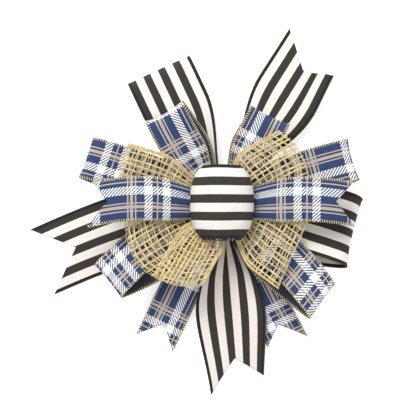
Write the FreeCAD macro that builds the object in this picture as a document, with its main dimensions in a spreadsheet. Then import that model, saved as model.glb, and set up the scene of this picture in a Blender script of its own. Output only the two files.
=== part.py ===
import FreeCAD, Part
import os
import Sketcher

# A gift bow of wired ribbon, lying on its back. +Z is the front of the bow, +Y its top.
# The origin is on the bow's axis, in the flat back of its felt pad. Sizes are in millimetres.

doc = FreeCAD.newDocument("gift_bow")
sheet = doc.addObject("Spreadsheet::Sheet", "sizes")

# The driving dimensions. Each cell holds one plain number.
SIZES = {
    # ribbons: cut width, width at the pinched root, and the angle, in degrees, at which each
    # side opens out from the root to the full width
    "striped_width": 63.5,
    "striped_root": 8,
    "striped_spread": 25.6,
    "plaid_width": 38.1,
    "plaid_root": 7,
    "plaid_spread": 20.3,
    "jute_width": 63.5,
    "jute_root": 8,
    "jute_spread": 24.1,
    "front_spread": 19.4,
    "cloth": 0.8,
    "edging": 1.6,
    "fold_root": 4,
    # hub: a stack of pinched ribbon, bound by the tie
    "hub_radius": 12,
    "hub_waist": 1.2,
    "gap": 0.8,
    "tails_gather": 6,
    "striped_gather": 6.5,
    "upper_gather": 7,
    "side_gather": 8,
    "jute_gather": 10,
    "front_gather": 3,
    "front_neck": 8,
    "front_reach": 29,
    "front_mouth": 24,
    "front_cloth": 2,
    # tie: a round wire that binds the hub and leaves a leg on each side
    "tie_band": 2,
    "tie_width": 2.4,
    "tie_inset": 0.4,
    "tie_stem": 3.6,
    "tie_leg": 3,
    "tie_leg_length": 48,
    # felt pad behind the tie
    "pad_radius": 18,
    "pad_thickness": 2,
    # centre: glue, card plate, padded dome and the ribbon wrapped over it
    "glue_radius": 10,
    "glue_thickness": 2,
    "plate_thickness": 2,
    "dome_across": 54,
    "dome_along": 62,
    "dome_height": 21,
    "wrap_cloth": 0.8,
    "tuck_width": 26,
    "tuck_reach": 7,
}

# Folded loops: ribbon, gather that holds the root, direction, length from the hub to the
# fold, height of the root above the gather's back, slope, tilt about its own length, and
# fold radius.
LOOPS = {
    "striped_loop_upper_left": ("striped", "striped_gather", 114, 126, 3.1, 2.5, 0, 10.5),
    "striped_loop_right": ("striped", "striped_gather", -12.5, 116, 3.1, 0.5, -6, 10.5),
    "plaid_loop_upper_left": ("plaid", "upper_gather", 118, 89, 3.4, 12, -6, 7.5),
    "plaid_loop_upper_right": ("plaid", "upper_gather", 62.5, 81, 3.4, 8, 0, 7.5),
    "plaid_loop_left": ("plaid", "side_gather", 162.5, 118, 3.9, 2, 6, 7.5),
    "plaid_loop_right": ("plaid", "side_gather", 16.5, 115, 3.9, 3, -6, 7.5),
    "plaid_loop_lower_left": ("plaid", "side_gather", 217.5, 114, 3.9, 2, 8, 7.5),
    "plaid_loop_lower_right": ("plaid", "side_gather", -42.5, 116, 3.9, 5.5, -4, 7.5),
    "jute_loop_left": ("jute", "jute_gather", 162, 83, 2.6, 10.5, 0, 7),
    "jute_loop_upper_right": ("jute", "jute_gather", 28.5, 72, 2.6, 12, 0, 7),
    "jute_loop_lower_left": ("jute", "jute_gather", 213, 82, 2.6, 10, 0, 7),
    "jute_loop_bottom": ("jute", "jute_gather", 250, 72, 7.6, 20.5, 0, 7),
    "jute_loop_lower_right": ("jute", "jute_gather", -31, 70, 2.6, 12.8, 0, 7),
}

# Cut tails: ribbon, gather, direction, lengths to the left tip, the right tip and the notch
# seen from the hub, height of the root above the gather's back, and slope. The front tails
# leave the mouths of the front gather.
TAILS = {
    "striped_tail_upper_right": ("striped", "tails_gather", 59.5, 161, 144, 133, 3, -2.6),
    "striped_tail_left": ("striped", "tails_gather", 198, 156, 165, 129, 3, -2.6),
    "striped_tail_bottom": ("striped", "tails_gather", -85.5, 151, 165, 134, 3, -2.6),
    "plaid_tail_lower_left": ("plaid", "tails_gather", 245, 131, 130, 110, 5, -2.6),
    "plaid_tail_lower_right": ("plaid", "tails_gather", -64, 128, 132, 113, 1, -2.4),
    "plaid_tail_front_left": ("front", "front_gather", 181, 92, 86, 74, 4, 12.5),
    "plaid_tail_front_right": ("front", "front_gather", -1, 89, 90, 73, 4, 14.5),
}

LOOP_KEYS = ("angle", "length", "level", "slope", "tilt", "fold")
TAIL_KEYS = ("angle", "left", "right", "notch", "level", "slope")
for name, row in LOOPS.items():
    SIZES.update({f"{name}_{key}": value for key, value in zip(LOOP_KEYS, row[2:])})
for name, row in TAILS.items():
    SIZES.update({f"{name}_{key}": value for key, value in zip(TAIL_KEYS, row[2:])})

# A ribbon's width, the width of its root, and the angle at which it opens out.
CUTS = {ribbon: (f"{ribbon}_width", f"{ribbon}_root", f"{ribbon}_spread")
        for ribbon in ("striped", "plaid", "jute")}
CUTS["front"] = ("plaid_width", "front_mouth", "front_spread")

# The hub from the back forwards: each gather stands on what lies behind it.
BACK = ("pad_thickness", "tie_stem", "tie_band")
GATHERS = ("tails_gather", "striped_gather", "upper_gather", "side_gather", "jute_gather")

for line, (alias, value) in enumerate(SIZES.items(), start=1):
    sheet.set(f"A{line}", alias)
    sheet.set(f"B{line}", str(value))
    sheet.setAlias(f"B{line}", alias)
doc.recompute()

PIECES = []


def cell(alias):
    return f"<<sizes>>.{alias}"


def new_body(name):
    body = doc.addObject("PartDesign::Body", name)
    body.Label = name
    PIECES.append(body)
    return body


def new_sketch(body, role, name):
    sketch = body.newObject("Sketcher::SketchObject", f"{body.Name}_{name}")
    plane = next(item for item in body.Origin.OriginFeatures if item.Role == role)
    sketch.AttachmentSupport = [(plane, "")]
    sketch.MapMode = "FlatFace"
    return sketch


def drive(sketch, constraint, expression):
    """Adds a constraint and binds its value to the sheet."""
    index = sketch.addConstraint(constraint)
    sketch.setExpression(f"Constraints[{index}]", expression)
    return index


def polygon(sketch, points):
    """A closed outline whose corners are expressions in the sheet's sizes."""
    value = {}
    for x, y in points:
        for text in (x, y):
            value[text] = float(sketch.evalExpression(text))
    first = sketch.GeometryCount
    corners = [FreeCAD.Vector(value[x], value[y], 0) for x, y in points]
    count = len(corners)
    for index, corner in enumerate(corners):
        sketch.addGeometry(Part.LineSegment(corner, corners[(index + 1) % count]), False)
    for index in range(count):
        after = first + (index + 1) % count
        sketch.addConstraint(Sketcher.Constraint("Coincident", first + index, 2, after, 1))
    for index, (x, y) in enumerate(points):
        for kind, text in (("DistanceX", x), ("DistanceY", y)):
            rule = Sketcher.Constraint(kind, -1, 1, first + index, 1, value[text])
            drive(sketch, rule, text)


def pad(body, sketch, length, both_ways=False):
    feature = body.newObject("PartDesign::Pad", f"{sketch.Name}_pad")
    feature.Profile = sketch
    feature.setExpression("Length", length)
    if both_ways:
        feature.SideType = "Symmetric"
    return feature


def cut_through(body, sketch):
    """Cuts the sketch's outline right through the body, both ways."""
    feature = body.newObject("PartDesign::Pocket", f"{sketch.Name}_cut")
    feature.Profile = sketch
    feature.Type = "ThroughAll"
    feature.SideType = "Symmetric"
    return feature


def place(body, x, y, z, turn="0", slope="0", tilt="0"):
    """Puts a body's origin at x, y, z, turned about Z, then sloped up, then tilted."""
    body.setExpression(
        "Placement",
        f"placement(vector({x}; {y}; {z}); rotation({turn}; -({slope}); {tilt}))",
    )


def hub_level(*names):
    return " + ".join(cell(name) for name in names)


def gather_level(name):
    """The height of a gather's back face."""
    behind = GATHERS[:GATHERS.index(name)] if name in GATHERS else GATHERS
    return hub_level(*BACK, *behind)


def ribbon_half(ribbon, inset):
    return f"{cell(CUTS[ribbon][0])} / 2 - {inset}"


def root_half(ribbon, inset):
    return f"{cell(CUTS[ribbon][1])} / 2 - {inset}"


def flare_length(ribbon):
    """How far from its root a ribbon reaches its full width."""
    width, root, spread = (cell(name) for name in CUTS[ribbon])
    return f"({width} - {root}) / 2 / tan({spread} * 1deg)"


def teardrop(sketch, start, half_height, centre, radius):
    """A fold seen from its side: a round end, and two straight legs to a narrow root."""
    start_x = float(sketch.evalExpression(start))
    high = float(sketch.evalExpression(half_height))
    centre_x = float(sketch.evalExpression(centre))
    size = float(sketch.evalExpression(radius))
    first = sketch.GeometryCount
    vector = FreeCAD.Vector
    circle = Part.Circle(vector(centre_x, 0, 0), vector(0, 0, 1), size)
    quarter = 1.5
    sketch.addGeometry(Part.ArcOfCircle(circle, -quarter, quarter), False)
    sketch.addGeometry(
        Part.LineSegment(vector(centre_x, size, 0), vector(start_x, high, 0)), False
    )
    sketch.addGeometry(
        Part.LineSegment(vector(start_x, high, 0), vector(start_x, -high, 0)), False
    )
    sketch.addGeometry(
        Part.LineSegment(vector(start_x, -high, 0), vector(centre_x, -size, 0)), False
    )
    arc, upper, root, lower = range(first, first + 4)
    sketch.addConstraint(Sketcher.Constraint("Tangent", arc, 2, upper, 1))
    sketch.addConstraint(Sketcher.Constraint("Tangent", lower, 2, arc, 1))
    sketch.addConstraint(Sketcher.Constraint("Coincident", upper, 2, root, 1))
    sketch.addConstraint(Sketcher.Constraint("Coincident", root, 2, lower, 1))
    sketch.addConstraint(Sketcher.Constraint("PointOnObject", arc, 3, -1))
    sketch.addConstraint(Sketcher.Constraint("Symmetric", root, 1, root, 2, -1))
    drive(sketch, Sketcher.Constraint("DistanceX", -1, 1, arc, 3, centre_x), centre)
    drive(sketch, Sketcher.Constraint("DistanceX", -1, 1, root, 1, start_x), start)
    drive(sketch, Sketcher.Constraint("DistanceY", -1, 1, root, 1, high), half_height)
    drive(sketch, Sketcher.Constraint("Radius", arc, size), radius)


def strip_outline(ribbon, inset, end):
    """Half of a ribbon's plan: pinched at the root, then its full width as far as end."""
    flare = flare_length(ribbon)
    return [("0 * 1", root_half(ribbon, inset)), (flare, ribbon_half(ribbon, inset)),
            (end, ribbon_half(ribbon, inset))]


def mirrored(points):
    """Closes half a plan with its mirror image about the ribbon's length."""
    return points + [(x, f"-({y})") for x, y in reversed(points)]


def loop_ring(body, name, ribbon, width):
    """The folded ribbon as a closed band of cloth, cut square to a width."""
    cloth = cell("cloth")
    fold = cell(f"{name}_fold")
    centre = f"{cell(name + '_length')} - {fold}"
    profile = new_sketch(body, "XZ_Plane", "profile")
    teardrop(profile, "0 * 1", f"{cell('fold_root')} / 2", centre, fold)
    teardrop(profile, cloth, f"{cell('fold_root')} / 2 - {cloth}", centre, f"{fold} - {cloth}")
    pad(body, profile, width, both_ways=True)


def loop_shoulders(body, ribbon, inset):
    """Cuts the corners beside the pinched root away."""
    flare = flare_length(ribbon)
    beside = f"{ribbon_half(ribbon, '0')} + 1"
    shoulders = new_sketch(body, "XY_Plane", "shoulders")
    for sign in ("", "-"):
        polygon(shoulders, [
            ("-1 * 1", f"{sign}({root_half(ribbon, inset)})"),
            ("0 * 1", f"{sign}({root_half(ribbon, inset)})"),
            (flare, f"{sign}({ribbon_half(ribbon, inset)})"),
            (flare, f"{sign}({beside})"),
            ("-1 * 1", f"{sign}({beside})"),
        ])
    cut_through(body, shoulders)


def place_ribbon(body, name):
    """Stands a ribbon's root against the side of its gather, a small gap away."""
    turn = cell(f"{name}_angle")
    gather = LOOPS[name][1] if name in LOOPS else TAILS[name][1]
    side = "front_reach" if gather == "front_gather" else "hub_radius"
    radius = f"{cell(side)} + {cell('gap')}"
    level = f"{gather_level(gather)} + {cell(name + '_level')}"
    slope = cell(f"{name}_slope")
    tilt = cell(f"{name}_tilt") if name in LOOPS else "0"
    x = f"({radius}) * cos({turn} * 1deg)"
    y = f"({radius}) * sin({turn} * 1deg)"
    place(body, x, y, level, turn, slope, tilt)


def make_loop(name):
    """A loop of wired ribbon: the cloth, and the two wired edgings along its sides."""
    ribbon = LOOPS[name][0]
    edging = cell("edging")
    cloth_body = new_body(name)
    loop_ring(cloth_body, name, ribbon, f"{cell(ribbon + '_width')} - 2 * {edging}")
    loop_shoulders(cloth_body, ribbon, edging)
    place_ribbon(cloth_body, name)
    edge_body = new_body(f"{name}_edging")
    loop_ring(edge_body, name, ribbon, cell(f"{ribbon}_width"))
    loop_shoulders(edge_body, ribbon, "0")
    middle = new_sketch(edge_body, "XY_Plane", "middle")
    past = f"{cell(name + '_length')} + 1"
    polygon(middle, mirrored(strip_outline(ribbon, edging, past)))
    cut_through(edge_body, middle)
    place_ribbon(edge_body, name)


def tail_plan(body, name, ribbon, inset):
    """A tail's plan: pinched root, full width, two tips and the notch between them."""
    flare = flare_length(ribbon)
    side = ribbon_half(ribbon, inset)
    root = root_half(ribbon, inset)
    plan = new_sketch(body, "XY_Plane", "plan")
    polygon(plan, [
        ("0 * 1", f"-({root})"),
        (flare, f"-({side})"),
        (cell(f"{name}_right"), f"-({side})"),
        (cell(f"{name}_notch"), "0 * 1"),
        (cell(f"{name}_left"), side),
        (flare, side),
        ("0 * 1", root),
    ])
    pad(body, plan, cell("cloth"), both_ways=True)


def make_tail(name):
    """A cut tail of wired ribbon and its two wired edgings."""
    ribbon = TAILS[name][0]
    edging = cell("edging")
    cloth_body = new_body(name)
    tail_plan(cloth_body, name, ribbon, edging)
    place_ribbon(cloth_body, name)
    edge_body = new_body(f"{name}_edging")
    tail_plan(edge_body, name, ribbon, "0")
    middle = new_sketch(edge_body, "XY_Plane", "middle")
    past = f"max({cell(name + '_left')}; {cell(name + '_right')}) + 1"
    polygon(middle, mirrored(strip_outline(ribbon, edging, past)))
    cut_through(edge_body, middle)
    place_ribbon(edge_body, name)


FRONT_TOP = f"{gather_level('front_gather')} + {cell('front_gather')} + {cell('front_cloth')}"
PLATE_BOTTOM = f"{FRONT_TOP} + {cell('tie_band')} + {cell('glue_thickness')}"


def tie_slots(body):
    """Grooves for the tie in the two sides of a gather."""
    half = f"{cell('tie_width')} / 2 + {cell('gap')}"
    floor = f"{cell('hub_radius')} - {cell('tie_inset')} - {cell('tie_band')}"
    beyond = f"{cell('hub_radius')} + 1"
    slots = new_sketch(body, "XY_Plane", "slots")
    for sign in ("", "-"):
        polygon(slots, [
            (f"-({half})", f"{sign}({floor})"),
            (half, f"{sign}({floor})"),
            (half, f"{sign}({beyond})"),
            (f"-({half})", f"{sign}({beyond})"),
        ])
    cut_through(body, slots)


def make_gather(name):
    """Pinched ribbon: a short drum, drawn in at its waist, with grooves for the tie."""
    body = new_body(name)
    height = cell(name)
    radius = cell("hub_radius")
    profile = new_sketch(body, "XZ_Plane", "profile")
    polygon(profile, [
        ("0 * 1", "0 * 1"),
        (radius, "0 * 1"),
        (f"{radius} - {cell('hub_waist')}", f"{height} / 2"),
        (radius, height),
        ("0 * 1", height),
    ])
    drum = body.newObject("PartDesign::Revolution", f"{name}_drum")
    drum.Profile = profile
    drum.ReferenceAxis = (profile, ["V_Axis"])
    drum.Angle = 360
    tie_slots(body)
    place(body, "0", "0", gather_level(name))


def make_front_gather():
    """A pinched drum under a bow tie of cloth, whose two mouths hold the front tails."""
    body = new_body("front_gather")
    plan = new_sketch(body, "XY_Plane", "drum")
    radius = float(plan.evalExpression(cell("hub_radius")))
    plan.addGeometry(Part.Circle(FreeCAD.Vector(), FreeCAD.Vector(0, 0, 1), radius), False)
    plan.addConstraint(Sketcher.Constraint("Coincident", 0, 3, -1, 1))
    drive(plan, Sketcher.Constraint("Radius", 0, radius), cell("hub_radius"))
    pad(body, plan, f"{cell('front_gather')} + {cell('front_cloth')}")
    bow_tie = new_sketch(body, "XY_Plane", "bow_tie")
    bow_tie.setExpression("AttachmentOffset.Base.z", cell("front_gather"))
    reach = cell("front_reach")
    mouth = f"{cell('front_mouth')} / 2"
    neck = f"{cell('front_neck')} / 2"
    polygon(bow_tie, [
        (f"-({reach})", f"-({mouth})"),
        ("0 * 1", f"-({neck})"),
        (reach, f"-({mouth})"),
        (reach, mouth),
        ("0 * 1", neck),
        (f"-({reach})", mouth),
    ])
    pad(body, bow_tie, cell("front_cloth"))
    tie_slots(body)
    place(body, "0", "0", gather_level("front_gather"))


def make_tie():
    """The wire that binds the hub, its run across the back, and the two free legs."""
    band = new_body("tie_wire_band")
    ring = new_sketch(band, "YZ_Plane", "ring")
    bottom = hub_level("pad_thickness", "tie_stem")
    for inset in ("0", cell("tie_band")):
        side = f"{cell('hub_radius')} - {cell('tie_inset')} - {inset}"
        low = f"{bottom} + {inset}"
        high = f"{FRONT_TOP} + {cell('tie_band')} - {inset}"
        polygon(ring, [(f"-({side})", low), (side, low), (side, high), (f"-({side})", high)])
    pad(band, ring, cell("tie_width"), both_ways=True)

    middle = f"{cell('pad_thickness')} + {cell('tie_stem')} / 2"
    half_run = f"{cell('pad_radius')} + {cell('gap')}"
    runs = {
        "tie_back_run": (cell("tie_stem"), f"2 * ({half_run})", f"-({half_run})", "90"),
        "tie_leg_right": (cell("tie_leg"), cell("tie_leg_length"),
                          f"{half_run} + {cell('gap')}", "90"),
        "tie_leg_left": (cell("tie_leg"), cell("tie_leg_length"),
                         f"-({half_run}) - {cell('gap')}", "-90"),
    }
    for name, (thickness, length, start, lean) in runs.items():
        run = doc.addObject("Part::Cylinder", name)
        run.Label = name
        run.setExpression("Radius", f"{thickness} / 2")
        run.setExpression("Height", length)
        run.setExpression("Placement", f"placement(vector({start}; 0; {middle}); "
                                       f"rotation(0; {lean}; 0))")
        PIECES.append(run)


def primitive(kind, name, level, **sizes):
    """A Part primitive at a level on the bow's axis, with its sizes bound to the sheet."""
    shape = doc.addObject(kind, name)
    for key, expression in sizes.items():
        shape.setExpression(key, expression)
    shape.setExpression("Placement.Base.z", level)
    return shape


def named(piece, name):
    piece.Label = name
    PIECES.append(piece)


def joined(kind, name, base, tool):
    result = doc.addObject(kind, name)
    result.Base = base
    result.Tool = tool
    return result


def oval_plate(name, level, grow, height):
    """An upright oval slab as wide and as long as the dome, grown by a distance."""
    oval = primitive(
        "Part::Ellipse", f"{name}_outline", level,
        MajorRadius=f"{cell('dome_along')} / 2 + {grow}",
        MinorRadius=f"{cell('dome_across')} / 2 + {grow}",
    )
    oval.setExpression("Placement.Rotation.Angle", "90")
    slab = doc.addObject("Part::Extrusion", name)
    slab.Base = oval
    slab.DirMode = "Custom"
    slab.Dir = FreeCAD.Vector(0, 0, 1)
    slab.Solid = True
    slab.setExpression("LengthFwd", height)
    return slab


def dome_form(name, level, grow):
    """Half an ellipsoid, flat side down."""
    dome = primitive(
        "Part::Ellipsoid", name, level,
        Radius1=f"{cell('dome_height')} + {grow}",
        Radius2=f"{cell('dome_across')} / 2 + {grow}",
        Radius3=f"{cell('dome_along')} / 2 + {grow}",
    )
    dome.Angle1 = 0
    return dome


def make_centre():
    """The covered dome: glue, card plate, padded dome and the ribbon wrapped over them."""
    disc = primitive("Part::Cylinder", "glue_disc", FRONT_TOP, Radius=cell("glue_radius"),
                     Height=hub_level("tie_band", "glue_thickness"))
    channel = primitive("Part::Box", "glue_channel", FRONT_TOP, Length=cell("tie_width"),
                        Width=f"2 * {cell('hub_radius')}", Height=cell("tie_band"))
    channel.setExpression("Placement.Base.x", f"-{cell('tie_width')} / 2")
    channel.setExpression("Placement.Base.y", f"-{cell('hub_radius')}")
    named(joined("Part::Cut", "glue", disc, channel), "glue_pad")

    plate = cell("plate_thickness")
    dome_level = f"{PLATE_BOTTOM} + {plate}"
    named(oval_plate("plate", PLATE_BOTTOM, "0", plate), "dome_backing_plate")
    named(dome_form("dome", dome_level, "0"), "padded_dome")

    cloth = cell("wrap_cloth")
    outside = joined("Part::Fuse", "wrap_outside", dome_form("wrap_crown", dome_level, cloth),
                     oval_plate("wrap_skirt", PLATE_BOTTOM, cloth, plate))
    inside = joined("Part::Fuse", "wrap_inside", dome_form("wrap_hollow", dome_level, "0"),
                    oval_plate("wrap_well", PLATE_BOTTOM, "0", plate))
    named(joined("Part::Cut", "wrap", outside, inside), "dome_ribbon_wrap")

    for side, sign in (("left", "-"), ("right", "")):
        name = f"dome_wrap_end_{side}"
        body = new_body(name)
        plan = new_sketch(body, "XY_Plane", "plan")
        start = f"{sign}({cell('hub_radius')} + {cell('gap')})"
        end = f"{sign}({cell('dome_across')} / 2 - {cell('gap')})"
        half_end = f"{cell('tuck_width')} / 2"
        polygon(plan, [
            (start, f"-({half_end}) + {cell('tuck_reach')}"),
            (start, f"{half_end} - {cell('tuck_reach')}"),
            (end, half_end),
            (end, f"-({half_end})"),
        ])
        pad(body, plan, hub_level("tie_band", "glue_thickness"))
        place(body, "0", "0", FRONT_TOP)


named(primitive("Part::Cylinder", "pad", "0", Radius=cell("pad_radius"),
                Height=cell("pad_thickness")), "felt_back_pad")
for gather in GATHERS:
    make_gather(gather)
make_front_gather()
make_tie()
for loop in LOOPS:
    make_loop(loop)
for tail in TAILS:
    make_tail(tail)
make_centre()
doc.recompute()

failed = [item.Name for item in doc.Objects if {"Invalid", "Error"} & set(item.State)]
if failed:
    raise RuntimeError(f"not built: {', '.join(failed)}")
for piece in PIECES:
    if piece.Shape.isNull() or not piece.Shape.isValid() or not piece.Shape.Solids:
        raise RuntimeError(f"bad shape: {piece.Label}")

os.makedirs("parts", exist_ok=True)
for piece in PIECES:
    piece.Shape.exportStep(f"parts/{piece.Label}.step")
print(len(PIECES), "pieces written")
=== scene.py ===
import math

import bmesh
import bpy
import numpy as np
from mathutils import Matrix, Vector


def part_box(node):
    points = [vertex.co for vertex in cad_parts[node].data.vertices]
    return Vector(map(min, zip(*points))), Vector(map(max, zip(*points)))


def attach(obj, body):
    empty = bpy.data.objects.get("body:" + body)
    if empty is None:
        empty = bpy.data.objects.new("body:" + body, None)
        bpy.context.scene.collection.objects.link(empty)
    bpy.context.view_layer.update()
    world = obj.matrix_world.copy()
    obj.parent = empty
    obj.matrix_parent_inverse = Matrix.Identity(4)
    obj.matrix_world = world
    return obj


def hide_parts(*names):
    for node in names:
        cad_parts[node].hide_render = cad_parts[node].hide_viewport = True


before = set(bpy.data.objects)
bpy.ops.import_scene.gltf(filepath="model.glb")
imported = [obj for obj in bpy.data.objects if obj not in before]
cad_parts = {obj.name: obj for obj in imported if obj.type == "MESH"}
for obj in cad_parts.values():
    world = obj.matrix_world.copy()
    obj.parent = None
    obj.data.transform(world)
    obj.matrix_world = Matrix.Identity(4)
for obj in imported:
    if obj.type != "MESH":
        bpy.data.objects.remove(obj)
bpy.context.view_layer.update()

# ---- Studio ---------------------------------------------------------------------------
# The bow lies on its back on a white table, seen from straight above a little left of its
# axis, in the even light of a white tent with two soft lamps.

table_size = 6.0
bpy.ops.mesh.primitive_plane_add(size=table_size, location=(0, 0, 0))
table = bpy.context.object
table.name = "table"

camera_data = bpy.data.cameras.new("camera")
camera = bpy.data.objects.new("camera", camera_data)
bpy.context.collection.objects.link(camera)
camera.location = (-0.0121, -0.00465, 0.750)
camera_data.sensor_width = 36
camera_data.lens = 68.9
bpy.context.scene.camera = camera
bpy.context.scene.view_settings.view_transform = "Standard"

tent = bpy.data.worlds.new("tent")
bpy.context.scene.world = tent
tent.use_nodes = True
tent_light = tent.node_tree.nodes["Background"]
tent_light.inputs["Color"].default_value = (1.0, 1.0, 1.0, 1)
tent_light.inputs["Strength"].default_value = 0.50


def soft_lamp(name, place, size, power, aim=(0, 0, 0.03)):
    """A square lamp that faces a point of the bow."""
    lamp = bpy.data.lights.new(name, "AREA")
    lamp.size = size
    lamp.energy = power
    holder = bpy.data.objects.new(name, lamp)
    bpy.context.collection.objects.link(holder)
    holder.location = place
    aim_line = holder.location.copy()
    for axis in range(3):
        aim_line[axis] = aim[axis] - place[axis]
    holder.rotation_euler = aim_line.to_track_quat("-Z", "Y").to_euler()


soft_lamp("key_lamp", (-0.45, 0.75, 1.25), 0.6, 17)
soft_lamp("fill_lamp", (0.9, -0.5, 1.2), 1.2, 4)


class Amount:
    """A number that a material's nodes work out, so that its maths reads as expressions."""

    def __init__(self, finish, socket):
        self.finish = finish
        self.socket = socket

    def math(self, operation, *others):
        inputs = dict(enumerate((self, *others)))
        return self.finish.node("ShaderNodeMath", {"operation": operation}, inputs)[0]

    def reflected(self, operation, other):
        return self.finish.node("ShaderNodeMath", {"operation": operation}, {0: other, 1: self})[0]

    def __add__(self, other):
        return self.math("ADD", other)

    __radd__ = __add__

    def __sub__(self, other):
        return self.math("SUBTRACT", other)

    def __rsub__(self, other):
        return self.reflected("SUBTRACT", other)

    def __mul__(self, other):
        return self.math("MULTIPLY", other)

    __rmul__ = __mul__

    def __truediv__(self, other):
        return self.math("DIVIDE", other)

    def above(self, limit):
        return self.math("GREATER_THAN", limit)

    def wrapped(self, period):
        """The remainder after whole periods, from 0 up to the period."""
        return (self / period).math("FRACT") * period

    def held(self):
        """No less than 0 and no more than 1."""
        return self.math("MAXIMUM", 0).math("MINIMUM", 1)


class Finish:
    """A material being made: node() adds any node, and the shader's own sockets take numbers."""

    def __init__(self, name, **numbers):
        self.material = bpy.data.materials.new(name)
        self.material.use_nodes = True
        self.tree = self.material.node_tree
        self.shader = self.tree.nodes["Principled BSDF"]
        for socket, number in numbers.items():
            self.shader.inputs[socket.replace("_", " ")].default_value = number

    def node(self, kind, settings, inputs):
        """Adds a node and returns its outputs as amounts."""
        made = self.tree.nodes.new(kind)
        for name, value in settings.items():
            if name == "stops":  # a ramp's spots, each with the level that starts there
                made.color_ramp.interpolation = "CONSTANT"
                made.color_ramp.elements[1].color = (0, 0, 0, 1)
                for spot, level in value:
                    made.color_ramp.elements.new(spot).color = (level, level, level, 1)
            else:
                setattr(made, name, value)
        for socket, value in inputs.items():
            if isinstance(value, Amount):
                self.tree.links.new(value.socket, made.inputs[socket])
            else:
                made.inputs[socket].default_value = value
        return [Amount(self, output) for output in made.outputs]

    def bands(self, place, period, edges):
        """1 inside each band, from its low to its high edge within a period, and 0 between.

        The place is in metres, the period and the edges in millimetres."""
        stops = [(edge / period, level) for band in edges for edge, level in zip(band, (1, 0))]
        metres = period / 1000
        return self.node("ShaderNodeValToRGB", {"stops": stops}, {0: place.wrapped(metres) / metres})[0]

    def strip_uv(self):
        """Metres along a ribbon, metres across it from its first edge, and both as a place."""
        place = self.node("ShaderNodeUVMap", {"uv_map": "strip"}, {})[0]
        along, across, _ = self.node("ShaderNodeSeparateXYZ", {}, {0: place})
        return along, across, place

    def object_place(self):
        """A place in the piece's own axes."""
        return self.node("ShaderNodeTexCoord", {}, {})[3]

    def noise(self, place, scale, detail=2.0, roughness=0.5):
        return self.node("ShaderNodeTexNoise", {}, {
            "Vector": place, "Scale": scale, "Detail": detail, "Roughness": roughness,
        })[0]

    def stretched(self, place, x, y, z=1.0):
        return self.node("ShaderNodeMapping", {}, {"Vector": place, "Scale": (x, y, z)})[0]

    def blend(self, factor, first, second):
        """Goes from the first colour to the second as factor goes from 0 to 1."""
        colours = [value if isinstance(value, Amount) else (*value, 1) for value in (first, second)]
        return self.node("ShaderNodeMix", {"data_type": "RGBA"},
                         {0: factor, 6: colours[0], 7: colours[1]})[2]

    def paint(self, socket, amount):
        self.tree.links.new(amount.socket, self.shader.inputs[socket])

    def bump(self, height, distance):
        inputs = {"Height": height, "Distance": distance, "Strength": 1.0}
        self.paint("Normal", self.node("ShaderNodeBump", {}, inputs)[0])


backdrop = Finish("table_white", Roughness=0.9)
backdrop.shader.inputs["Base Color"].default_value = (0.93, 0.93, 0.93, 1)
backdrop.shader.inputs["Specular IOR Level"].default_value = 0.1
backdrop.shader.inputs["Emission Color"].default_value = (1, 1, 1, 1)
backdrop.shader.inputs["Emission Strength"].default_value = 0.55
table.data.materials.append(backdrop.material)

# ---- Striped ribbon -------------------------------------------------------------------
# Wired canvas ribbon, woven in even cream and heathered black stripes, with a thin black
# selvedge on one side. Two folded loops and three notched tails fan out behind the bow.

MM = 0.001
CLOTH = 0.5 * MM


def srgb(red, green, blue):
    """A colour from screen values, 0 to 255, as the linear light that shaders take."""
    return tuple((value / 255) ** 2.2 for value in (red, green, blue))


def weave_height(finish, place, pitch):
    """A plain weave: threads one pitch apart, over and under in turn."""
    x, y, _ = finish.node("ShaderNodeSeparateXYZ", {}, {0: place})
    warp = (x * (math.pi / pitch)).math("SINE")
    weft = (y * (math.pi / pitch)).math("SINE")
    roundness, crossing = 0.5, 0.35
    return (warp.math("ABSOLUTE") * roundness + weft.math("ABSOLUTE") * roundness
            + warp * weft * crossing)


def striped_canvas(name, cream_shade, cream_light):
    """A narrow black edge, then cream and black stripes in turn, of heathered thread."""
    finish = Finish(name, Roughness=0.85)
    _, across, place = finish.strip_uv()
    edge_width, cream_width, black_width, far_edge = 2.5 * MM, 7.75 * MM, 7.5 * MM, 61.4 * MM
    heather = finish.noise(finish.stretched(place, 900, 5200), 1.0, 3.0, 0.7)
    slub = finish.noise(finish.stretched(place, 260, 2600), 1.0, 2.0, 0.6)
    cloud = finish.noise(place, 90, 2.0)
    wobble = (finish.noise(finish.stretched(place, 400, 40), 1.0) - 0.5) * (0.25 * MM)
    near_edge = 1 - across.above(edge_width)
    stripe = (across - edge_width + wobble).wrapped(cream_width + black_width).above(cream_width)
    black = stripe.math("MAXIMUM", near_edge)
    cream = finish.blend(slub * 0.55 + cloud * 0.45, cream_shade, cream_light)
    thread = finish.blend((heather * 1.9 - 0.55).held(), srgb(22, 19, 17), srgb(80, 74, 68))
    edges = near_edge.math("MAXIMUM", across.above(far_edge))
    thread = finish.blend(edges, thread, srgb(34, 31, 31))
    finish.paint("Base Color", finish.blend(black, cream, thread))
    finish.bump(weave_height(finish, place, pitch=0.55 * MM) + heather * 0.6, 0.10 * MM)
    return finish.material


canvas = striped_canvas("striped_canvas", srgb(240, 232, 222), srgb(252, 247, 240))


def smooth(value):
    """0 below 0, 1 above 1, and an even S between them."""
    held = np.clip(value, 0.0, 1.0)
    return held * held * (3 - 2 * held)


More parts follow.
